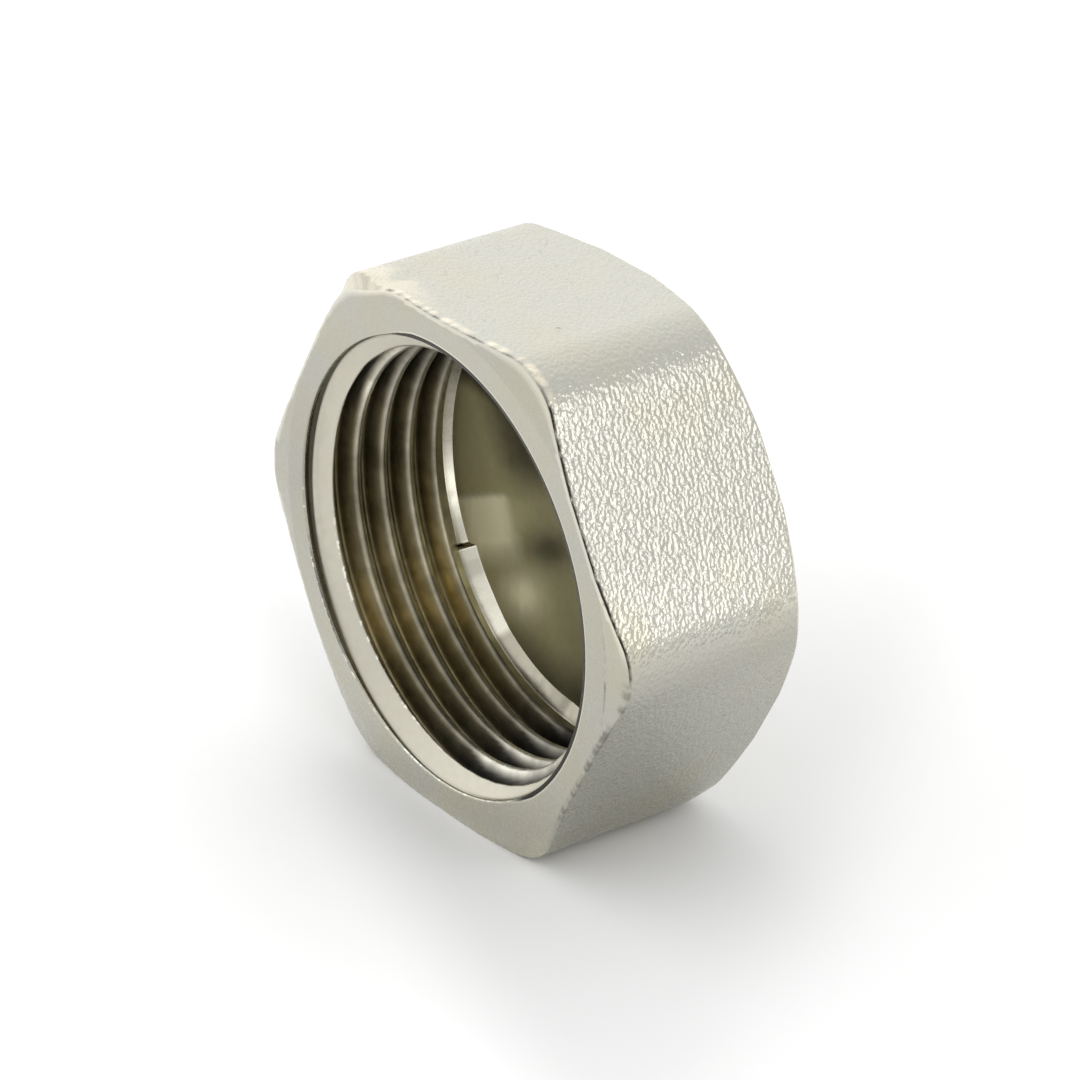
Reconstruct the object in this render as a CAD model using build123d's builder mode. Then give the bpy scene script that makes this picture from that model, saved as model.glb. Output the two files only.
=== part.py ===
from build123d import *
import os
from math import radians, tan

# Threaded protection cap: a blind hexagonal cap of plated brass for a G 3/4 male pipe end.
# It lies on one flat of its hexagon. The bore axis runs along Y, the mouth faces -Y and +Z is up.
# The origin is on the surface it lies on, under the middle of its length. Lengths are in millimetres.

# Hexagon, forged with round corners
across_flats = 30.0
height = 12.8
corner_radius = 4.2

# Turned ends: a flat face that runs out into a cone, which cuts the scallops into the flats
mouth_face_radius = 14.92
mouth_chamfer_angle = 21.0
closed_face_radius = 15.1
closed_chamfer_angle = 29.0

# Bore for the G 3/4 pipe thread, ISO 228: 14 turns to the inch
thread_major_radius = 26.441 / 2
thread_minor_radius = 24.117 / 2
mouth_break = 0.2
recess_depth = 0.68
lead_in_angle = 30.0
relief_start = 8.95
relief_end = 9.66
floor_depth = 10.07

# Places that follow from the sizes above
axis_height = across_flats / 2
mouth_y = -height / 2
envelope_radius = across_flats / 2 * 1.2
bore_axis = Axis((0, 0, axis_height), (0, 1, 0))
# In the hexagon's plane the normal points into the cap; in the half plane x is the radius and y the depth
hexagon_plane = Plane(origin=(0, mouth_y, axis_height), x_dir=(1, 0, 0), z_dir=(0, 1, 0))
half_plane = Plane(origin=(0, mouth_y, axis_height), x_dir=(1, 0, 0), z_dir=(0, 0, 1))


def turned_envelope():
    """Half section of what the lathe leaves outside: two flat faces, each with its cone."""
    mouth_cone = (envelope_radius - mouth_face_radius) * tan(radians(mouth_chamfer_angle))
    closed_cone = (envelope_radius - closed_face_radius) * tan(radians(closed_chamfer_angle))
    return [
        (0, 0),
        (mouth_face_radius, 0),
        (envelope_radius, mouth_cone),
        (envelope_radius, height - closed_cone),
        (closed_face_radius, height),
        (0, height),
    ]


def bore_section():
    """Half section of the bore: edge break, recess, lead-in cone, thread bore, relief and floor."""
    lead_in = (thread_major_radius - thread_minor_radius) * tan(radians(lead_in_angle))
    relief_cone = thread_major_radius - thread_minor_radius
    floor_chamfer = floor_depth - relief_end
    return [
        (0, 0),
        (thread_major_radius + mouth_break, 0),
        (thread_major_radius, mouth_break),
        (thread_major_radius, recess_depth),
        (thread_minor_radius, recess_depth + lead_in),
        (thread_minor_radius, relief_start - relief_cone / 2),
        (thread_major_radius, relief_start),
        (thread_major_radius, relief_end),
        (thread_major_radius - floor_chamfer, floor_depth),
        (0, floor_depth),
    ]


with BuildPart() as cap:
    with BuildSketch(hexagon_plane) as hexagon:
        RegularPolygon(radius=across_flats / 2, side_count=6, major_radius=False)
        fillet(hexagon.vertices(), radius=corner_radius)
    extrude(amount=height)

    # Turning both ends cuts the corners back and leaves a scallop on every flat
    with BuildSketch(half_plane):
        with BuildLine():
            Polyline(*turned_envelope(), close=True)
        make_face()
    revolve(axis=bore_axis, mode=Mode.INTERSECT)

    # The bore stays plain at the thread's minor diameter between the lead-in and the relief
    with BuildSketch(half_plane):
        with BuildLine():
            Polyline(*bore_section(), close=True)
        make_face()
    revolve(axis=bore_axis, mode=Mode.SUBTRACT)

os.makedirs("parts", exist_ok=True)
cap.part.label = "cap"
export_step(cap.part, "parts/cap.step")
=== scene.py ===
from math import cos, pi, radians, sin, tan
from types import SimpleNamespace

import bpy
import numpy as np
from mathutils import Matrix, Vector, noise


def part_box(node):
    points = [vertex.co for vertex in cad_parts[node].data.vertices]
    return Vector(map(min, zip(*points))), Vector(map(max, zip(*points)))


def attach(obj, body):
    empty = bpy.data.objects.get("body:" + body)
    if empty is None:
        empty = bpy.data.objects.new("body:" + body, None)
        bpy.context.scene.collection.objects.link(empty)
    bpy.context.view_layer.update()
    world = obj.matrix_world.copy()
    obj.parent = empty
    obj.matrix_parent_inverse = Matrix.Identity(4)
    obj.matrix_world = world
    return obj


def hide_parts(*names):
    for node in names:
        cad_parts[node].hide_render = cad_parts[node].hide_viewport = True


# Threaded protection cap: a blind hexagonal cap of nickel-plated brass, lying on one flat.
# The bore axis runs along Y, the mouth faces -Y and +Z is up. Shapes are worked out in
# millimetres as radius, depth behind the mouth plane and angle from +X towards +Z.

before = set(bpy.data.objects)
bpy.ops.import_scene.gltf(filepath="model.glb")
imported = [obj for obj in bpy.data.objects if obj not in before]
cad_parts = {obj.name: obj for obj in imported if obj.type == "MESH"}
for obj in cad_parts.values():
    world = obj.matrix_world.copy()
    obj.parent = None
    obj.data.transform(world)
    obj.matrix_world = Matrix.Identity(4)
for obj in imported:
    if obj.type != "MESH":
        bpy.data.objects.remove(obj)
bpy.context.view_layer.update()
low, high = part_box("cap")

MM = 0.001
MOUTH_Y = low[1]
AXIS_Z = (low[2] + high[2]) / 2
ACROSS_FLATS = (high[2] - low[2]) / MM
LENGTH = (high[1] - low[1]) / MM

# Mesh density, and the radius inside which a fan of triangles closes each end
SLICES = 440
LEAD_IN_ROWS = 22
THREAD_ROWS = 87
FAN_RADIUS = 0.6

# Places round the cap are in degrees from +X towards +Z. A spot is its centre and its spread, for
# near_angle. A stretch is where it starts, is full, stops being full and ends, for between.

# Hexagon, forged with round corners, of which the one at the upper left in the photo is sharper
CORNER_RADIUS = 4.2
SHARP_CORNER = (120, 25)
SHARP_CORNER_LESS = 1.2

# Turned ends: a flat ring, and a cone out to the forged sides
MOUTH_FACE_RADIUS = 14.95
MOUTH_FACE_SHIFT = 0.3
MOUTH_FACE_SHIFT_ANGLE = radians(-30)
MOUTH_CONE_SLOPE = 0.345
MOUTH_CONE_DEPTH_LEAST = 0.015
FLATTER_CONE = (165, 55)
FLATTER_CONE_LESS = 0.2
CLOSED_FACE_RADIUS = 15.1
CLOSED_CONE_SLOPE = 0.56
CONE_WIDTH_LEAST = 0.05
FACE_WAVE = 0.05

# Corners where the turned edge lies inside the hexagon: by how much, centre and spread
MOUTH_DROPS = ((1.0, 118, 7.5), (0.15, 60, 8))
CLOSED_DROPS = ((0.35, -60, 9), (0.2, 0, 9))
# How far behind the turned edge the forging has its full radius
FORGING_RUN = 1.6
STEEP_FORGING = (121, 14)
STEEP_FORGING_LESS = 1.52

# Noise round the outside: size of its lumps in millimetres, and a seed
LUMPS_CIRCLE = 15
FINE_LUMPS = (0.55, 3.0)
BROAD_LUMPS = (2.5, 9.0)
GRIT_LUMPS = (0.3, 7.0)
CREAM_LUMPS = (1.2, 5.0)

# Bore with the G 3/4 pipe thread
MAJOR_RADIUS = 26.441 / 2
MINOR_RADIUS = 24.117 / 2
THREAD_HEIGHT = MAJOR_RADIUS - MINOR_RADIUS
PITCH = 25.4 / 14
THREAD_PHASE_DEPTH = 3.05
THREAD_PHASE_ANGLE = radians(200)
THREAD_LEAN = 0.6
THREAD_LEAN_ANGLE = radians(231)
FLANK_ANGLE = radians(27.5)
CREST_ROUNDING = 0.137329 * PITCH
RECESS_DEPTH = 0.75
RECESS_BOTTOM = (275, 62)
RECESS_BOTTOM_DEPTH = 0.28
RECESS_TOP = (125, 24)
RECESS_TOP_DEPTH = 0.45
LEAD_IN_DEPTH = 1.26
RELIEF_START = 8.75
RELIEF_RAMP = 4.0
FLOOR_DEPTH = 10.07

# Break of the bore's edge at the mouth, with a scale by angle. Where the bore's wall is out of view it is
# wider and shallower, and a stretch of the rest has a small burr
MOUTH_BREAK_WIDTH = 0.08
MOUTH_BREAK_DEPTH = 0.14
BREAK_SCALES = (
    (100, 1.0), (115, 0.35), (150, 0.35), (185, 1.0), (235, 1.0), (255, 0.6), (298, 0.6), (310, 1.0))
BORE_IN_VIEW = (100, 112, 298, 310)
NEAR_BREAK_WIDER = 2.4
NEAR_BREAK_SHALLOWER = 0.09
BURRED_EDGE = (150, 180, 298, 310)

# The turned corner round the floor: angle, radius of the wall above it, width and height of its cone
CORNER_CUT = (
    (201.0, 13.22, 0.37, 0.45), (207.8, 13.22, 0.45, 0.52), (208.6, 12.80, 0.70, 0.80),
    (217.0, 12.84, 0.69, 0.78), (223.0, 12.86, 0.70, 0.78), (233.0, 12.96, 0.66, 0.72),
    (241.0, 12.95, 0.68, 0.68), (251.0, 12.95, 0.75, 0.62), (264.0, 12.85, 0.80, 0.65),
    (330.0, 13.22, 0.37, 0.45))

# Painted light and shade in the plating of the flats and of the turned ring round the mouth: angle and tone
FLAT_LIGHT_TONES = (
    (0, 0.76), (2.5, 0.78), (6.5, 1.08), (14, 1.08), (22, 1.0), (298, 1.0), (308, 0.80), (350, 0.80),
    (356, 0.76))
RING_LIGHT_TONES = (
    (0, 0.78), (30, 0.73), (100, 0.715), (125, 0.70), (180, 0.625), (225, 0.84), (270, 1.0), (335, 0.84))

# Marks on the outside: a burr's painted shadow and brown grit along the scallops, painted glints in small teeth
# and a lighter cream patch behind them, and a painted dark line along the edge of the flat ring
BURR_SHADOW = (-1, 1, 54, 62)
BROKEN_BURR_SHADOW = (60, 70, 108, 125)
BROWN_GRIT = (312, 322, 358, 360)
GLINTING_TEETH = (50, 60, 105, 115)
CREAM_PATCH = (114, 15)
RING_DARK_LINE = (0, 10)
# Where the bore's edge has no painted shade along its lip, and where it has painted glints
LIP_SHADE_GAP = (106, 116, 296, 306)
RIM_GLINT = (175, 190, 285, 300)

# Painted light and shade on the thread, with its brass tint, partly real and partly painted warm reflection:
# angle, tones of crest, flank and root, how brassy crest and flank are, and how far the crest's tone reaches
# into the groove
THREAD_LIGHT_AND_TINT = (
    (110, 0.95, 0.02, 0.02, 0.00, 0.6, 0.45),
    (144, 1.00, 0.04, 0.03, 0.00, 0.6, 0.40),
    (152, 1.00, 0.07, 0.05, 0.00, 0.8, 0.36),
    (161, 0.60, 0.20, 0.14, 0.10, 1.0, 0.30),
    (178, 0.26, 0.24, 0.15, 0.35, 1.0, 0.30),
    (192, 0.24, 0.48, 0.17, 0.40, 1.0, 0.50),
    (204, 0.50, 0.80, 0.36, 0.50, 0.9, 0.80),
    (213, 0.50, 0.85, 0.50, 0.50, 0.9, 0.60),
    (222, 0.32, 0.72, 0.55, 0.40, 1.0, 0.30),
    (232, 0.22, 0.38, 0.36, 0.30, 1.0, 0.20),
    (244, 0.22, 0.25, 0.28, 0.30, 1.0, 0.16),
    (258, 0.26, 0.15, 0.20, 0.25, 0.8, 0.14),
    (268, 0.45, 0.08, 0.10, 0.10, 0.6, 0.16),
    (276, 0.95, 0.10, 0.05, 0.00, 0.1, 0.50),
    (300, 0.95, 0.10, 0.05, 0.00, 0.1, 0.50))
# How the painted light and shade change from turn to turn: depth, crests above, crests beside, grooves beside,
# all below
TURN_SHADE_FADES = (
    (2.4, 1.00, 1.0, 1.00, 1.0),
    (4.2, 0.62, 1.0, 0.85, 1.0),
    (6.0, 0.46, 1.3, 0.85, 0.6),
    (7.8, 0.36, 1.3, 0.95, 0.1))
THREAD_ABOVE = (15, 60, 150, 175)
THREAD_BESIDE = (150, 175, 195, 208)
THREAD_BELOW = (265, 276, 310, 345)
# Shadow of the recess, which is darkest at the upper left, and of the lead-in
RECESS_DARK = 0.6
RECESS_DARKER = (114, 20)
RECESS_DARKER_BY = 0.35
LEAD_IN_DARK = 0.13
LEAD_IN_DARKER = (180, 55)
LEAD_IN_GLINT = (185, 200, 255, 275)

# Floor of the bore: its painted shade and reflections lie along and across a direction. Then, by angle: tone of
# the wall above it with painted light and shade, painted shade on its cone, its cone's painted highlight, and
# painted shade at a step in it
SEAT_TURN = radians(23.95)
SEAT_WALL_LIGHT_TONES = ((160, 0.5), (180, 0.5), (196, 0.36), (206, 0.36), (214, 1.0), (226, 1.0), (236, 0.5))
SEAT_WALL_BRASS = 0.3
CUT_SHADE = ((140, 0), (160, 0.1), (172, 0.12), (180, 0.35), (190, 0.1), (196, 0))
CUT_HIGHLIGHT = (
    (172, 0), (190, 1), (208.2, 1), (209, 0.9), (212, 0.9), (212.5, 0.65), (216.5, 0.65), (217, 1), (232.5, 1),
    (234.5, 0))
CUT_STEP_SHADE = (207.8, 0.35)

# Metal colours
NICKEL = (0.575, 0.565, 0.50)
WORN_NICKEL = (0.58, 0.56, 0.46)
LEAD_IN_NICKEL = (0.62, 0.595, 0.50)
# Cream for painted glints on the forging, and for a lighter cream patch
CREAM_NICKEL = (0.84, 0.78, 0.63)
PALE_TINT = (1.0, 0.975, 0.86)
BRASS_TINT = (1.0, 0.85, 0.48)
SEAT_OLIVE = (0.55, 0.51, 0.30)
# Painted reflections in patches on the floor of the bore
SEAT_REFLECTION = (1.0, 0.96, 0.74)
# Painted highlight on the bore's edge and on the floor's cone; the cone's base colour follows
EDGE_HIGHLIGHT = (0.98, 0.95, 0.80)
EDGE_DULL = (0.50, 0.475, 0.38)
STAIN_BROWN = (0.20, 0.14, 0.08)
# Near black for painted shade, and for brown grit
SHADE_AND_GRIT = (0.03, 0.027, 0.02)
GLINT = (0.98, 0.95, 0.84)

# Direction across which the forged grain is squeezed, and by how much
GRAIN_LIE = (0.172, 0.939, -0.298)
GRAIN_SQUEEZE = 0.3

# Glow of the floor, in metres: it grows away from a point near the cap, and towards two directions
GLOW_CENTRE = (0.012, 0.001, 0)
GLOW_START = 0.018
GLOW_END = 0.065
GLOW = 0.2
GLOW_SIDES = (
    ((-0.3, -0.95, 0), 0.0065, 0.0145, 0.17),
    ((0.8, 0.6, 0), 0.0135, 0.024, 0.11))


# Numbers by place


def near_angle(angle, centre, spread):
    """1 at an angle in degrees, falling smoothly to 0 over a spread in degrees."""
    gap = (angle - radians(centre) + pi) % (2 * pi) - pi
    return np.exp(-(gap / radians(spread)) ** 2)


def spots(angle, places):
    """Sum of spots, each with its height, centre and spread."""
    return sum(height * near_angle(angle, centre, spread) for height, centre, spread in places)


def between(angle, start, full_start, full_end, end):
    """1 over a stretch of angles in degrees, falling to 0 at its ends."""
    return np.interp(np.degrees(angle), [start, full_start, full_end, end], [0, 1, 1, 0])


def lookup(table, value, column=1, period=None):
    """A column of a table, interpolated by the table's first column."""
    rows = np.array(table)
    return np.interp(value, rows[:, 0], rows[:, column], period=period)


def by_angle(table, angle, column=1):
    """A column of a table whose first column has angles in degrees."""
    return lookup(table, np.degrees(angle), column, period=360)


def ramp(value, start, run):
    """0 at a start, rising to 1 over a run, which is negative for a rise towards smaller values."""
    return np.clip((value - start) / run, 0, 1)


def patchy(values, middle, contrast):
    """Noise made into patches from 0 to 1."""
    return np.clip(middle + contrast * values, 0, 1)


def lumps(angle, size, seed):
    """Smooth noise round the outside, of lumps of the given size in millimetres."""
    x = LUMPS_CIRCLE * np.cos(angle) / size
    z = LUMPS_CIRCLE * np.sin(angle) / size
    return np.array([noise.noise(Vector((a + seed, 0, b))) for a, b in zip(x, z)])


def smooth_max(a, b, width):
    """The larger of two values, with the edge between them rounded over a width."""
    mix = np.clip(0.5 + 0.5 * (a - b) / width, 0, 1)
    return b + (a - b) * mix + width * mix * (1 - mix)


def smooth_min(a, b, width):
    return -smooth_max(-a, -b, width)


# Shape of the cap


def hexagon_radius(angle):
    """Radius of the rounded hexagon at an angle, for flats that face up and down."""
    apothem = ACROSS_FLATS / 2
    from_flat = (angle - pi / 2 + pi / 6) % (pi / 3) - pi / 6
    from_corner = pi / 6 - np.abs(from_flat)
    corner_radius = CORNER_RADIUS - SHARP_CORNER_LESS * near_angle(angle, *SHARP_CORNER)
    centre = (apothem - corner_radius) / cos(pi / 6)
    reach = corner_radius ** 2 - (centre * np.sin(from_corner)) ** 2
    arc = centre * np.cos(from_corner) + np.sqrt(np.maximum(reach, 0))
    straight_half = (apothem - corner_radius) * tan(pi / 6)
    on_flat = np.abs(apothem * np.tan(from_flat)) <= straight_half
    return np.where(on_flat, apothem / np.cos(from_flat), arc)


def thread_radius(angle, depth):
    """Wall radius of the right-hand Whitworth thread: crests at the minor radius."""
    lean = np.cos(angle - THREAD_LEAN_ANGLE) - cos(THREAD_PHASE_ANGLE - THREAD_LEAN_ANGLE)
    crest = THREAD_PHASE_DEPTH - PITCH * (angle - THREAD_PHASE_ANGLE) / (2 * pi) + THREAD_LEAN * lean
    from_crest = np.abs((depth - crest + PITCH / 2) % PITCH - PITCH / 2)
    from_root = PITCH / 2 - from_crest
    arc_half = CREST_ROUNDING * cos(FLANK_ANGLE)
    arc_drop = CREST_ROUNDING * (1 - sin(FLANK_ANGLE))
    flank = MINOR_RADIUS + arc_drop + (from_crest - arc_half) / tan(FLANK_ANGLE)
    crest_arc = CREST_ROUNDING - np.sqrt(np.maximum(CREST_ROUNDING ** 2 - from_crest ** 2, 0))
    root_arc = CREST_ROUNDING - np.sqrt(np.maximum(CREST_ROUNDING ** 2 - from_root ** 2, 0))
    wall = np.where(from_crest < arc_half, MINOR_RADIUS + crest_arc, flank)
    return np.where(from_root < arc_half, MAJOR_RADIUS - root_arc, wall)


def rounded_path(path, arc_steps=4):
    """Rows of points along a path with rounded corners, and the material after each row.

    Each corner of the path gives its radius and depth at every angle, how far its rounding reaches along
    its runs, the number of points inside the run that follows it, and the material of that run.
    """
    points = [np.stack(np.broadcast_arrays(*corner), -1) for corner, _, _, _ in path]
    last = len(path) - 1
    rows = []
    materials = []
    for i, (_, rounding, _, material) in enumerate(path):
        point = points[i]
        arc = [point]
        if 0 < i < last:
            before = points[i - 1] - point
            after = points[i + 1] - point
            length_before = np.linalg.norm(before, axis=-1, keepdims=True)
            length_after = np.linalg.norm(after, axis=-1, keepdims=True)
            reach = np.broadcast_to(rounding, point.shape[:1])[:, None]
            reach = np.minimum(reach, 0.45 * np.minimum(length_before, length_after))
            start = point + before / np.maximum(length_before, 1e-9) * reach
            end = point + after / np.maximum(length_after, 1e-9) * reach
            arc = [start * (1 - s) ** 2 + point * 2 * s * (1 - s) + end * s ** 2
                   for s in np.linspace(0, 1, arc_steps)]
        if i > 0:
            _, _, fill, material_before = path[i - 1]
            first = rows[-1]
            for s in np.linspace(0, 1, fill + 2)[1:-1]:
                ease = (1 - cos(pi * s)) / 2
                rows.append(first * (1 - ease) + arc[0] * ease)
                materials.append(material_before)
        for step, row in enumerate(arc):
            rows.append(row)
            materials.append(material if step * 2 >= len(arc) - 1 else material_before)
    return rows, materials


# Outside, from the closed face to the recess in the mouth


def mouth_edges(angle, outer, fine, broad):
    """Edges at the mouth: outer edge and its depth, edge of the flat ring, and the break of the bore's edge."""
    mouth_outer = outer - spots(angle, MOUTH_DROPS)
    face = MOUTH_FACE_RADIUS + MOUTH_FACE_SHIFT * np.cos(angle - MOUTH_FACE_SHIFT_ANGLE)
    face = np.minimum(face + FACE_WAVE * broad, mouth_outer - CONE_WIDTH_LEAST)
    slope = MOUTH_CONE_SLOPE - FLATTER_CONE_LESS * near_angle(angle, *FLATTER_CONE)
    side = (mouth_outer - face) * slope + 0.03 * fine
    near_side = 1 - between(angle, *BORE_IN_VIEW)
    scale = by_angle(BREAK_SCALES, angle)
    return SimpleNamespace(
        outer=mouth_outer, side=np.maximum(side, MOUTH_CONE_DEPTH_LEAST), face=face, near_side=near_side,
        bore=MAJOR_RADIUS + MOUTH_BREAK_WIDTH * (scale + NEAR_BREAK_WIDER * near_side),
        bore_side=MOUTH_BREAK_DEPTH * scale - NEAR_BREAK_SHALLOWER * near_side)


def outside_rows(angle):
    """Rows from the closed face round the forged hexagon to the recess in the mouth."""
    level = np.zeros(SLICES)
    outer = hexagon_radius(angle)
    fine = lumps(angle, *FINE_LUMPS)
    broad = lumps(angle, *BROAD_LUMPS)
    burred = fine * between(angle, *BURRED_EDGE)
    mouth = mouth_edges(angle, outer, fine, broad)
    closed_outer = outer - spots(angle, CLOSED_DROPS)
    closed_face = np.minimum(CLOSED_FACE_RADIUS + FACE_WAVE * broad, closed_outer - CONE_WIDTH_LEAST)
    closed_side = LENGTH - (closed_outer - closed_face) * CLOSED_CONE_SLOPE
    steep = near_angle(angle, *STEEP_FORGING)
    forging_run = FORGING_RUN - STEEP_FORGING_LESS * steep
    # Each line: corner (radius, depth), its rounding, points inside the run that follows, its material
    path = [
        ((FAN_RADIUS + level, LENGTH + level), 0, 1, "turned"),
        ((closed_face - 0.5, LENGTH + level), 0.02, 1, "turned"),
        ((closed_face, LENGTH + level), 0.12, 3, "forged"),
        ((closed_outer, closed_side), 0.18, 5, "forged"),
        ((outer, closed_side - forging_run), 0.7, 11, "forged"),
        ((outer, mouth.side + forging_run), 0.7 - 0.5 * steep, 5, "forged"),
        ((mouth.outer, mouth.side), 0.05 + 0.04 * fine, 4, "turned"),
        ((mouth.face, level), 0.1, 6, "turned"),
        ((mouth.bore + 0.09 + 0.03 * fine, level), 0.01, 1, "turned"),
        ((mouth.bore + 0.03 * burred, 0.01 + level), 0.02, 1, "turned"),
        ((MAJOR_RADIUS + 0.02 * burred, mouth.bore_side), 0.01, 2, "turned"),
        ((MAJOR_RADIUS + level, MOUTH_BREAK_DEPTH + 0.05 + level), 0, 0, "turned")]
    rows, materials = rounded_path(path)
    return rows, materials, outside_masks(angle, np.array(rows), mouth, fine)


def outside_masks(angle, points, mouth, fine):
    """Masks of the outside: tone with painted light and shade, painted shade and grit, painted glints, and
    painted highlights with a lighter cream patch.
    """
    radius = points[:, :, 0]
    depth = points[:, :, 1]
    behind_edge = depth - mouth.side
    on_side = radius > mouth.outer - 0.2
    at_mouth = depth < LENGTH / 2

    # Tones by angle paint light and shade on the ring and on the flats
    ring_tone = np.where(at_mouth, by_angle(RING_LIGHT_TONES, angle), 1)
    tone = np.where(on_side, by_angle(FLAT_LIGHT_TONES, angle), ring_tone)
    # A dark line painted along the edge of the flat ring
    ring_dark_line = 0.5 * near_angle(angle, *RING_DARK_LINE) * patchy(fine, 0.6, 2.0)
    ring_dark_line = ring_dark_line * (np.abs(radius - mouth.face) < 0.06) * at_mouth
    rim = (radius < mouth.bore + 0.01) * at_mouth
    # Painted shade along the bore's lip
    lip_shade = rim * (depth > 0.012) * (1 - between(angle, *LIP_SHADE_GAP))
    # Painted shadow of a burr, and brown grit, along the scallops
    marks = scallop_shade_and_grit(angle, radius > mouth.outer - 0.25, on_side, behind_edge, fine)
    # Painted highlight: a bright line along the inner edge of the ring
    edge = (radius < mouth.bore + 0.08) * (depth < 0.02)
    highlight_and_cream = scallop_glints_and_cream(angle, on_side, behind_edge, fine)
    return {
        "tone": tone,
        "shade_and_grit": np.maximum(np.maximum(marks, ring_dark_line), lip_shade),
        "glint": rim * (depth < 0.06) * between(angle, *RIM_GLINT),
        "highlight_and_cream": np.maximum(0.3 * edge * mouth.near_side, highlight_and_cream)}


def scallop_shade_and_grit(angle, by_side, on_side, behind_edge, fine):
    """Painted shade along the scallops: a burr's shadow, broken up at the top; and brown grit."""
    # Painted shadow under the burr of the scallop
    burr = between(angle, *BURR_SHADOW) * patchy(fine, 1.1, 1.3)
    burr = np.maximum(burr, 0.65 * between(angle, *BROKEN_BURR_SHADOW) * patchy(fine, 0.5, 2.0))
    burr = burr * on_side * (behind_edge > 0) * (behind_edge < 0.22)
    grit = lumps(angle, *GRIT_LUMPS)
    brown = 0.5 * between(angle, *BROWN_GRIT) * patchy(grit, 0.35, 2.5)
    brown = brown * by_side * (behind_edge > -0.1) * (behind_edge < 0.2)
    return np.maximum(burr, brown)


def scallop_glints_and_cream(angle, on_side, behind_edge, fine):
    """Bright marks behind the scallops: painted glints in small teeth, and a lighter cream patch at the upper
    left.
    """
    # Painted glints in small teeth behind the scallop
    teeth = between(angle, *GLINTING_TEETH) * patchy(fine, 0.5, -3.0)
    teeth = teeth * on_side * (behind_edge > 0.1) * (behind_edge < 0.5)
    cream = 0.6 * near_angle(angle, *CREAM_PATCH) * on_side * ramp(behind_edge, -0.03, 0.05)
    cream = cream * ramp(behind_edge, 1.9 + 1.2 * lumps(angle, *CREAM_LUMPS), -0.5)
    return np.maximum(cream, teeth)


# Bore, from the recess to the relief


def bore_section(angle, depth):
    """Wall radius round the bore at a depth between recess and relief, and its masks."""
    bottom = near_angle(angle, *RECESS_BOTTOM)
    top = near_angle(angle, *RECESS_TOP)
    recess = (RECESS_DEPTH - (RECESS_DEPTH - RECESS_BOTTOM_DEPTH) * bottom
              - (RECESS_DEPTH - RECESS_TOP_DEPTH) * top)
    cone = MAJOR_RADIUS - (depth - recess) / (LEAD_IN_DEPTH - recess) * THREAD_HEIGHT
    lead_in = smooth_min(cone, MAJOR_RADIUS, 0.2)
    relief = smooth_min(MAJOR_RADIUS - (RELIEF_START - depth) * RELIEF_RAMP, MAJOR_RADIUS, 0.12)
    thread = thread_radius(angle, depth)
    radius = smooth_max(smooth_max(thread, lead_in, 0.03), relief, 0.06)
    behind_thread = ramp(depth - RELIEF_START, -0.3, 0.25)
    corner_wall = by_angle(CORNER_CUT, angle)
    radius = np.minimum(radius, MAJOR_RADIUS + (corner_wall - MAJOR_RADIUS) * behind_thread)

    groove = np.where(relief > thread, 0.5, ramp(thread, MINOR_RADIUS, THREAD_HEIGHT))
    tone, brass = thread_light_and_tint(angle, depth, groove)
    turned = ramp(lead_in - thread, 0, 0.04)
    recess_dark = RECESS_DARK + RECESS_DARKER_BY * near_angle(angle, *RECESS_DARKER)
    recess_dark = recess_dark * ramp(depth, recess, -0.08)
    lead_in_dark = LEAD_IN_DARK * near_angle(angle, *LEAD_IN_DARKER) * turned
    lead_in_edge = (np.abs(lead_in - thread) < 0.12) & (depth > recess + 0.2)
    return radius, {
        "tone": tone, "brass": brass, "lead_in": turned,
        "shade_and_grit": np.maximum(recess_dark * (1 - bottom), lead_in_dark),
        "glint": lead_in_edge * between(angle, *LEAD_IN_GLINT)}


def thread_light_and_tint(angle, depth, groove):
    """Painted light and shade and the brass tint of the thread at an angle, between its crest (0) and its root
    (1).
    """
    crest, flank, root, crest_brass, flank_brass, reach = [by_angle(THREAD_LIGHT_AND_TINT, angle, i) for i in range(1, 7)]
    crest_above, crest_beside, groove_beside, fade_below = [lookup(TURN_SHADE_FADES, depth, i) for i in range(1, 5)]
    above = between(angle, *THREAD_ABOVE)
    beside = between(angle, *THREAD_BESIDE)
    below = between(angle, *THREAD_BELOW)
    crest = crest * (1 + (crest_above - 1) * above + (crest_beside - 1) * beside + (fade_below - 1) * below)
    groove_fade = 1 + (groove_beside - 1) * beside
    flank = np.minimum(flank * groove_fade, 1) * (1 + (fade_below - 1) * below)
    root = np.minimum(root * groove_fade, 1)
    from_crest = ramp(groove, 0.03, reach)
    from_flank = ramp(groove, 0.55, 0.4)
    tone = crest + (flank - crest) * from_crest
    tone = tone + (root - tone) * from_flank
    return tone, crest_brass + (flank_brass - crest_brass) * from_crest


# Floor of the bore


def floor_rows(angle):
    """Rows from the relief behind the thread, over the corner's cone, to the middle of the floor."""
    level = np.zeros(SLICES)
    wall, width, height = [by_angle(CORNER_CUT, angle, i) for i in range(1, 4)]
    # Each line: corner (radius, depth), its rounding, points inside the run that follows, its material
    path = [
        ((wall, RELIEF_START + 0.15 + level), 0, 1, "thread"),
        ((wall, FLOOR_DEPTH - height), 0.012, 4, "seat_edge"),
        ((wall - width, FLOOR_DEPTH - 0.01 + level), 0.012, 0, "seat_edge"),
        ((wall - width - 0.02, FLOOR_DEPTH + level), 0.01, 20, "seat"),
        ((FAN_RADIUS + level, FLOOR_DEPTH + level), 0, 0, "seat")]
    rows, materials = rounded_path(path, arc_steps=3)
    points = np.array(rows)
    on_corner = points[:, :, 0] > wall - width - 0.03
    return rows, materials, floor_masks(angle, points, on_corner)


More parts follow.
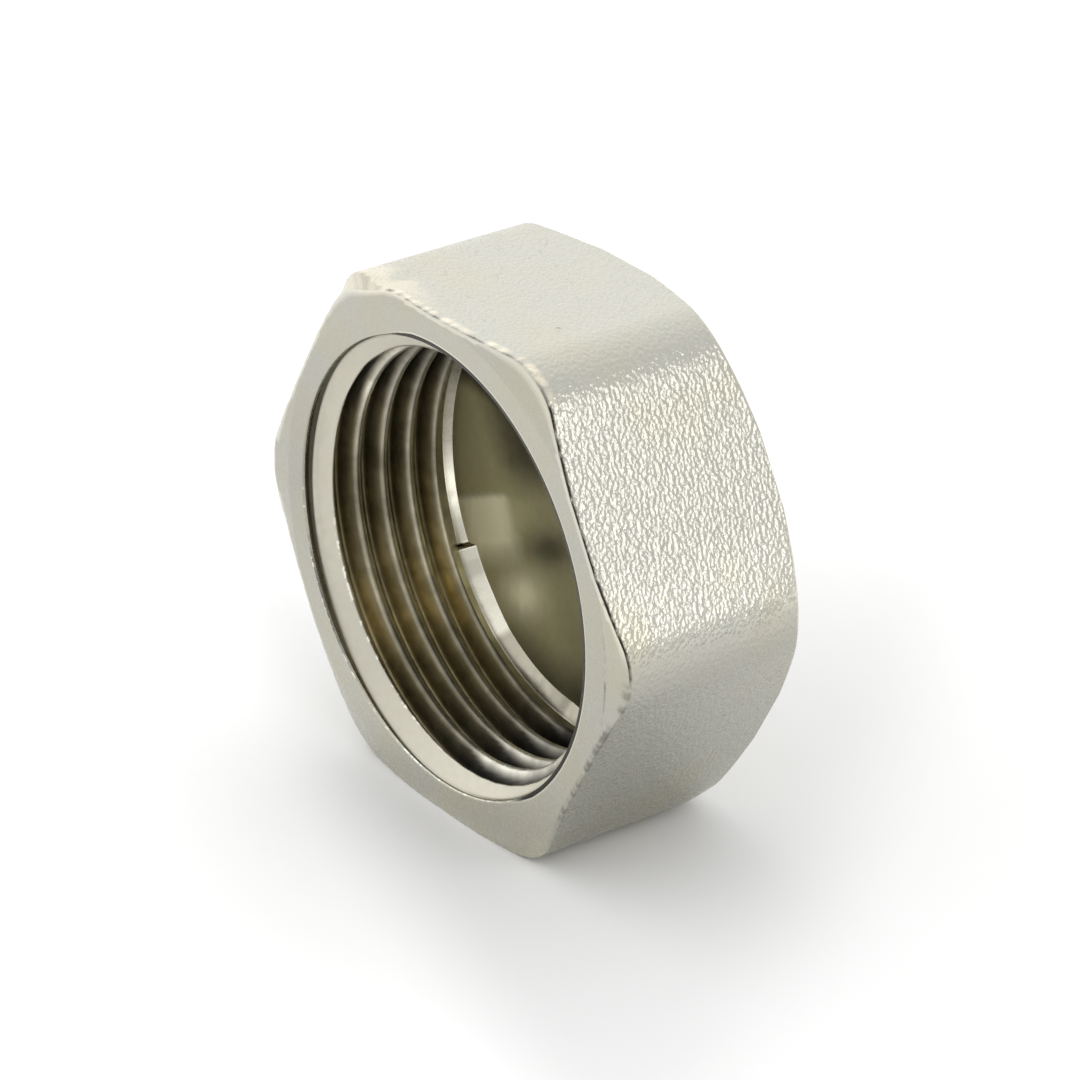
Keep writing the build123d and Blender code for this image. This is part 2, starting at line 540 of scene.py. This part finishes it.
def floor_masks(angle, points, on_corner):
    """Masks of the floor and its corner: patches of painted shade and painted reflection, and the cone's
    painted highlight and shade.
    """
    radius = points[:, :, 0]
    depth = points[:, :, 1]
    dark, light = seat_shade_and_reflections(radius * np.cos(angle), radius * np.sin(angle))
    # Painted shade at the step in the cone
    step_shade = near_angle(angle, *CUT_STEP_SHADE) * (radius > MAJOR_RADIUS - 0.28) * (depth > 9.5)
    corner_shade = np.maximum(step_shade, by_angle(CUT_SHADE, angle))
    return {
        "shade_and_grit": np.where(on_corner, corner_shade, np.clip(dark * (1 - light), 0, 0.8)),
        "tone": np.broadcast_to(by_angle(SEAT_WALL_LIGHT_TONES, angle), radius.shape),
        "brass": np.full(radius.shape, SEAT_WALL_BRASS),
        "highlight_and_cream": np.where(on_corner, by_angle(CUT_HIGHLIGHT, angle), light)}


def seat_shade_and_reflections(x, z):
    """How dark and how light the floor is at a place, after the patches that the photo shows on it."""
    # The dark patches are painted shade, and the light ones painted reflections
    along = x * cos(SEAT_TURN) + z * sin(SEAT_TURN)
    across = z * cos(SEAT_TURN) - x * sin(SEAT_TURN)
    light = ramp(across, 2.0, -0.35) * ramp(across, -2.6, 1.8) * ramp(along, -6.9, -1.3)
    light += 1.3 * np.exp(-((along + 8.6) / 1.9) ** 2 - ((across + 4.1) / 1.3) ** 2)
    dark = 0.55 * np.exp(-((along + 5.0) / 3.0) ** 2 - ((across + 1.5) / 1.1) ** 2)
    dark += 0.6 * ramp(along, -8.2, 2.0) * ramp(across, 1.2, 2.5)
    dark += 0.3 * ramp(along, -6.5, 2.5) + 0.6 * ramp(z, -9.0, -2.5)
    dark += 0.75 * ramp(z, 3.7, 1.0)
    return dark, light


# Mesh of the cap


def cap_rows():
    """All rows of the surface, the material after each row, and the masks of each point."""
    angle = np.arange(SLICES) * 2 * pi / SLICES
    outside, outside_materials, outside_values = outside_rows(angle)
    floor, floor_materials, floor_values = floor_rows(angle)
    thread_start = LEAD_IN_DEPTH + 0.2
    bore_depths = np.concatenate([
        np.linspace(MOUTH_BREAK_DEPTH + 0.06, thread_start, LEAD_IN_ROWS),
        np.linspace(thread_start, RELIEF_START + 0.1, THREAD_ROWS)[1:]])
    sections = [bore_section(angle, depth + 0 * angle) for depth in bore_depths]
    bore = [np.stack([radius, depth + 0 * angle], -1) for depth, (radius, _) in zip(bore_depths, sections)]
    masks = {}
    for name in ("tone", "brass", "lead_in", "shade_and_grit", "glint", "highlight_and_cream"):
        masks[name] = np.concatenate([
            outside_values.get(name, np.zeros((len(outside), SLICES))),
            [values.get(name, 0 * angle) for _, values in sections],
            floor_values.get(name, np.zeros((len(floor), SLICES)))])
    materials = outside_materials + ["thread"] * len(bore) + floor_materials
    return angle, np.array(outside + bore + floor), materials, masks


def cap_mesh(material_names):
    """The closed mesh of the cap, with a material for each zone and its masks as attributes."""
    angle, rows, row_materials, masks = cap_rows()
    radius = rows[:, :, 0]
    x = radius * np.cos(angle) * MM
    y = MOUTH_Y + rows[:, :, 1] * MM
    z = AXIS_Z + radius * np.sin(angle) * MM
    rings = np.stack([x, y, z], -1).reshape(-1, 3)
    ends = [[0, MOUTH_Y + LENGTH * MM, AXIS_Z], [0, MOUTH_Y + FLOOR_DEPTH * MM, AXIS_Z]]

    here = np.arange(SLICES)
    there = (here + 1) % SLICES
    faces = []
    materials = []
    for row in range(len(rows) - 1):
        a = row * SLICES
        b = a + SLICES
        faces += np.stack([a + here, b + here, b + there, a + there], -1).tolist()
        materials += [material_names.index(row_materials[row])] * SLICES
    last = (len(rows) - 1) * SLICES
    faces += np.stack([np.full(SLICES, len(rings)), here, there], -1).tolist()
    faces += np.stack([last + here, np.full(SLICES, len(rings) + 1), last + there], -1).tolist()
    materials += [material_names.index("turned")] * SLICES + [material_names.index("seat")] * SLICES

    mesh = bpy.data.meshes.new("cap_visual")
    mesh.from_pydata(rings.tolist() + ends, [], faces)
    mesh.polygons.foreach_set("material_index", materials)
    mesh.polygons.foreach_set("use_smooth", [True] * len(faces))
    for name, values in masks.items():
        attribute = mesh.attributes.new(name, "FLOAT", "POINT")
        attribute.data.foreach_set("value", values.ravel().tolist() + [values[0, 0], values[-1, 0]])
    mesh.update()
    return mesh


# Material nodes


def add(tree, kind, inputs=None, **settings):
    """A new node with its settings, and its inputs set to values or linked to sockets."""
    node = tree.nodes.new(kind)
    for name, value in settings.items():
        setattr(node, name, value)
    for name, value in (inputs or {}).items():
        if isinstance(value, bpy.types.NodeSocket):
            tree.links.new(value, node.inputs[name])
        else:
            node.inputs[name].default_value = value
    return node


def calculate(tree, operation, a, b):
    return add(tree, "ShaderNodeMath", {0: a, 1: b}, operation=operation).outputs[0]


def vector(tree, operation, a, b):
    """A vector from two vectors."""
    return add(tree, "ShaderNodeVectorMath", {0: a, 1: b}, operation=operation).outputs[0]


def measure(tree, operation, a, b):
    """A number from two vectors, such as their distance."""
    return add(tree, "ShaderNodeVectorMath", {0: a, 1: b}, operation=operation).outputs["Value"]


def scaled(tree, value, scale):
    """A vector or colour times a number."""
    return add(tree, "ShaderNodeVectorMath", {0: value, "Scale": scale}, operation="SCALE").outputs[0]


def millimetres(tree):
    """Object coordinates in millimetres."""
    return scaled(tree, add(tree, "ShaderNodeTexCoord").outputs["Object"], 1 / MM)


def cloud(tree, place, per_mm, detail=1.0, roughness=0.5):
    """Noise with a number of lumps to the millimetre."""
    inputs = {"Vector": place, "Scale": per_mm, "Detail": detail, "Roughness": roughness}
    return add(tree, "ShaderNodeTexNoise", inputs).outputs[0]


def remap(tree, value, start, end, low_value=0.0, high_value=1.0):
    """A value between start and end, moved smoothly to between two others."""
    inputs = {"Value": value, "From Min": start, "From Max": end, "To Min": low_value, "To Max": high_value}
    return add(tree, "ShaderNodeMapRange", inputs, interpolation_type="SMOOTHSTEP").outputs[0]


def blend(tree, factor, a, b):
    """A colour between two colours; each is a socket or three numbers."""
    colours = {}
    for index, colour in ((6, a), (7, b)):
        colours[index] = colour if isinstance(colour, bpy.types.NodeSocket) else (*colour, 1)
    node = add(tree, "ShaderNodeMix", {0: factor, **colours}, data_type="RGBA")
    return node.outputs[2]


def mask(tree, name):
    """A mask that the mesh carries as an attribute."""
    return add(tree, "ShaderNodeAttribute", attribute_name=name).outputs["Fac"]


def stains(tree, place, per_mm, share, size):
    """Small round stains, in a share of the cells of a given density."""
    warp = add(tree, "ShaderNodeTexNoise", {"Vector": place, "Scale": 4.0}).outputs["Color"]
    moved = vector(tree, "ADD", place, scaled(tree, warp, 0.35))
    cells = add(tree, "ShaderNodeTexVoronoi", {"Vector": moved, "Scale": per_mm})
    spot = remap(tree, cells.outputs["Distance"], size * per_mm, size * per_mm * 0.4)
    pick = add(tree, "ShaderNodeSeparateColor", {0: cells.outputs["Color"]}).outputs[0]
    chosen = calculate(tree, "GREATER_THAN", pick, 1 - share)
    return calculate(tree, "MULTIPLY", spot, chosen)


def metal(name):
    """A new metal material, its node tree, its shader and its coordinates in millimetres."""
    material = bpy.data.materials.new(name)
    material.use_nodes = True
    tree = material.node_tree
    shader = tree.nodes["Principled BSDF"]
    shader.inputs["Metallic"].default_value = 1
    return material, tree, shader, millimetres(tree)


def finish(tree, shader, colour, roughness, height):
    """Links a metal's colour, with its painted shade and grit and its painted glints, its roughness and its
    height in millimetres.
    """
    # Painted shade, with some brown grit, darkens the colour towards near black
    colour = blend(tree, mask(tree, "shade_and_grit"), colour, SHADE_AND_GRIT)
    speckle = remap(tree, cloud(tree, millimetres(tree), per_mm=2.2), 0.53, 0.6)
    colour = blend(tree, calculate(tree, "MULTIPLY", mask(tree, "glint"), speckle), colour, GLINT)
    bump = add(tree, "ShaderNodeBump", {"Height": height, "Distance": MM, "Strength": 1.0})
    tree.links.new(colour, shader.inputs["Base Color"])
    tree.links.new(roughness, shader.inputs["Roughness"])
    tree.links.new(bump.outputs[0], shader.inputs["Normal"])


# Metals of the cap


def forged_metal():
    """Blasted outside of the forging: coarse grain under a thin bright plating."""
    material, tree, shader, place = metal("nickel_forged")
    across = measure(tree, "DOT_PRODUCT", place, GRAIN_LIE)
    squeeze = scaled(tree, GRAIN_LIE, calculate(tree, "MULTIPLY", across, GRAIN_SQUEEZE))
    grain = cloud(tree, vector(tree, "ADD", place, squeeze), per_mm=3.6, roughness=0.25)
    fine = cloud(tree, place, per_mm=8.0)
    broad = cloud(tree, place, per_mm=0.2)
    height = calculate(tree, "MULTIPLY", grain, 0.07)
    colour = blend(tree, remap(tree, broad, 0.45, 0.8), NICKEL, WORN_NICKEL)
    # The tone paints light and shade by angle
    colour = scaled(tree, colour, mask(tree, "tone"))
    # Painted glints and a lighter cream patch behind the scallops
    colour = blend(tree, mask(tree, "highlight_and_cream"), colour, CREAM_NICKEL)
    marks = stains(tree, place, per_mm=0.35, share=0.35, size=0.22)
    colour = blend(tree, calculate(tree, "MULTIPLY", marks, 0.8), colour, STAIN_BROWN)
    finish(tree, shader, colour, remap(tree, fine, 0.3, 0.7, 0.24, 0.34), height)
    return material


def turned_metal():
    """Turned faces: faint rings round the bore's axis."""
    material, tree, shader, place = metal("nickel_turned")
    flat = vector(tree, "MULTIPLY", place, (1, 0, 1))
    radius = measure(tree, "DISTANCE", flat, (0, 0, AXIS_Z / MM))
    rings = add(tree, "ShaderNodeTexNoise", {"W": radius, "Scale": 6.0, "Detail": 2.0},
                noise_dimensions="1D").outputs[0]
    grain = cloud(tree, place, per_mm=3.0, detail=2.0)
    broad = cloud(tree, place, per_mm=0.3, detail=2.0)
    height = calculate(tree, "ADD", calculate(tree, "MULTIPLY", rings, 0.006),
                       calculate(tree, "MULTIPLY", grain, 0.006))
    colour = blend(tree, remap(tree, broad, 0.3, 0.65), NICKEL, WORN_NICKEL)
    # The tone paints light and shade by angle
    colour = scaled(tree, colour, mask(tree, "tone"))
    marks = stains(tree, place, per_mm=0.45, share=0.25, size=0.18)
    colour = blend(tree, calculate(tree, "MULTIPLY", marks, 0.6), colour, STAIN_BROWN)
    # Painted highlight along the bore's edge
    colour = blend(tree, mask(tree, "highlight_and_cream"), colour, EDGE_HIGHLIGHT)
    finish(tree, shader, colour, remap(tree, grain, 0.3, 0.7, 0.22, 0.32), height)
    return material


def thread_metal():
    """Thread: painted light and shade on crests and grooves, and a brass tint, partly brass showing through
    thin plating and partly painted warm reflection.
    """
    material, tree, shader, place = metal("nickel_thread")
    cloudy = remap(tree, cloud(tree, place, per_mm=0.7, detail=2.0), 0.3, 0.7, 0.8, 1.2)
    tone = calculate(tree, "MULTIPLY", mask(tree, "tone"), cloudy)
    tint = blend(tree, mask(tree, "brass"), PALE_TINT, BRASS_TINT)
    colour = blend(tree, mask(tree, "lead_in"), scaled(tree, tint, tone), LEAD_IN_NICKEL)
    grain = cloud(tree, place, per_mm=3.0, detail=2.0)
    height = calculate(tree, "MULTIPLY", grain, 0.001)
    finish(tree, shader, colour, remap(tree, grain, 0.3, 0.7, 0.38, 0.46), height)
    return material


def seat_metal():
    """Floor of the bore: a satin turned seat, with painted shade and streaky painted reflections."""
    material, tree, shader, place = metal("nickel_seat")
    stretched = vector(tree, "MULTIPLY", place, (1, 1, 0.12))
    streaks = remap(tree, cloud(tree, stretched, per_mm=0.7, detail=2.0), 0.3, 0.7, 0.75, 1.05)
    colour = blend(tree, calculate(tree, "MULTIPLY", mask(tree, "highlight_and_cream"), streaks), SEAT_OLIVE, SEAT_REFLECTION)
    grain = cloud(tree, place, per_mm=2.0)
    height = calculate(tree, "MULTIPLY", grain, 0.001)
    finish(tree, shader, colour, remap(tree, grain, 0.3, 0.7, 0.78, 0.84), height)
    return material


def seat_edge_metal():
    """Cone round the floor: a painted highlight over part of it, and painted shade."""
    material, tree, shader, place = metal("nickel_seat_edge")
    grain = cloud(tree, place, per_mm=1.5, detail=2.0)
    colour = blend(tree, mask(tree, "highlight_and_cream"), EDGE_DULL, EDGE_HIGHLIGHT)
    height = calculate(tree, "MULTIPLY", grain, 0.002)
    finish(tree, shader, colour, remap(tree, grain, 0.3, 0.7, 0.2, 0.28), height)
    return material


def build_cap():
    makers = {"turned": turned_metal, "forged": forged_metal, "thread": thread_metal,
              "seat": seat_metal, "seat_edge": seat_edge_metal}
    mesh = cap_mesh(list(makers))
    for maker in makers.values():
        mesh.materials.append(maker())
    piece = bpy.data.objects.new("cap_body", mesh)
    bpy.context.scene.collection.objects.link(piece)
    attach(piece, "root")
    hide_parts("cap")


# Camera, floor and light


def build_camera():
    """The photo's camera, as fitted to the cap's outlines."""
    azimuth = radians(53.846)
    elevation = radians(26.777)
    distance = 0.3
    focal_pixels = 5425.139
    image_pixels = 1080
    aim = Vector((0, MOUTH_Y + 6.885 * MM, AXIS_Z - 0.238 * MM))
    towards = Vector((sin(azimuth) * cos(elevation), -cos(azimuth) * cos(elevation), sin(elevation)))
    data = bpy.data.cameras.new("camera")
    data.sensor_width = 36
    data.lens = data.sensor_width * focal_pixels / image_pixels
    data.clip_start = 0.01
    data.clip_end = 20
    camera = bpy.data.objects.new("camera", data)
    camera.location = aim + towards * distance
    camera.rotation_euler = (-towards).to_track_quat("-Z", "Y").to_euler()
    bpy.context.scene.collection.objects.link(camera)
    bpy.context.scene.camera = camera


def floor_glow(tree):
    """How bright the floor glows, so that it is white away from the cap and keeps its shadow."""
    place = add(tree, "ShaderNodeTexCoord").outputs["Object"]
    glow = remap(tree, measure(tree, "DISTANCE", place, GLOW_CENTRE), GLOW_START, GLOW_END, 0.0, GLOW)
    for direction, start, end, strength in GLOW_SIDES:
        along = measure(tree, "DOT_PRODUCT", place, direction)
        glow = calculate(tree, "ADD", glow, remap(tree, along, start, end, 0.0, strength))
    return glow


def build_floor():
    """A white floor that glows only where it is seen, directly or in a reflection."""
    mesh = bpy.data.meshes.new("floor")
    half = 3.0
    corners = [(-half, -half, 0), (half, -half, 0), (half, half, 0), (-half, half, 0)]
    mesh.from_pydata(corners, [], [(0, 1, 2, 3)])
    floor = bpy.data.objects.new("floor", mesh)
    bpy.context.scene.collection.objects.link(floor)
    material = bpy.data.materials.new("floor_white")
    material.use_nodes = True
    tree = material.node_tree
    shader = tree.nodes["Principled BSDF"]
    shader.inputs["Base Color"].default_value = (0.95, 0.95, 0.95, 1)
    shader.inputs["Roughness"].default_value = 0.9
    shader.inputs["Specular IOR Level"].default_value = 0.1
    shader.inputs["Emission Color"].default_value = (1, 1, 1, 1)
    path = add(tree, "ShaderNodeLightPath")
    seen = calculate(tree, "MAXIMUM", path.outputs["Is Camera Ray"], path.outputs["Is Glossy Ray"])
    seen = calculate(tree, "MAXIMUM", seen, path.outputs["Is Transmission Ray"])
    tree.links.new(calculate(tree, "MULTIPLY", seen, floor_glow(tree)), shader.inputs["Emission Strength"])
    mesh.materials.append(material)


def softbox(name, direction, distance, width, height, radiance):
    """A rectangular lamp aimed at the cap, of a stated radiance."""
    data = bpy.data.lights.new(name, "AREA")
    data.shape = "RECTANGLE"
    data.size = width
    data.size_y = height
    data.energy = radiance * pi * width * height
    lamp = bpy.data.objects.new(name, data)
    towards = Vector(direction).normalized()
    lamp.location = Vector((0, 0, AXIS_Z)) + towards * distance
    lamp.rotation_euler = towards.to_track_quat("Z", "Y").to_euler()
    bpy.context.scene.collection.objects.link(lamp)


def build_light():
    """A pale studio, brighter to the left and dimmer on the photographer's side, with one softbox."""
    world = bpy.data.worlds.new("studio")
    bpy.context.scene.world = world
    world.use_nodes = True
    tree = world.node_tree
    background = tree.nodes["Background"]
    place = add(tree, "ShaderNodeTexCoord").outputs["Generated"]
    leftward = measure(tree, "DOT_PRODUCT", place, (-1, 0, 0))
    side = add(tree, "ShaderNodeMapRange", {"Value": leftward, "From Min": -1.0, "From Max": 1.0,
                                            "To Min": 0.6, "To Max": 1.35}).outputs[0]
    facing = measure(tree, "DOT_PRODUCT", place, (0.72, -0.53, 0.45))
    dim = remap(tree, facing, 0.88, 0.98, 1.0, 0.5)
    tree.links.new(calculate(tree, "MULTIPLY", side, dim), background.inputs["Strength"])
    background.inputs["Color"].default_value = (1, 1, 1, 1)
    softbox("key", (0.80, 0.32, 0.51), distance=0.4, width=0.15, height=0.2, radiance=1.8)


build_camera()
build_floor()
build_light()
build_cap()

scene = bpy.context.scene
scene.view_settings.view_transform = "Standard"
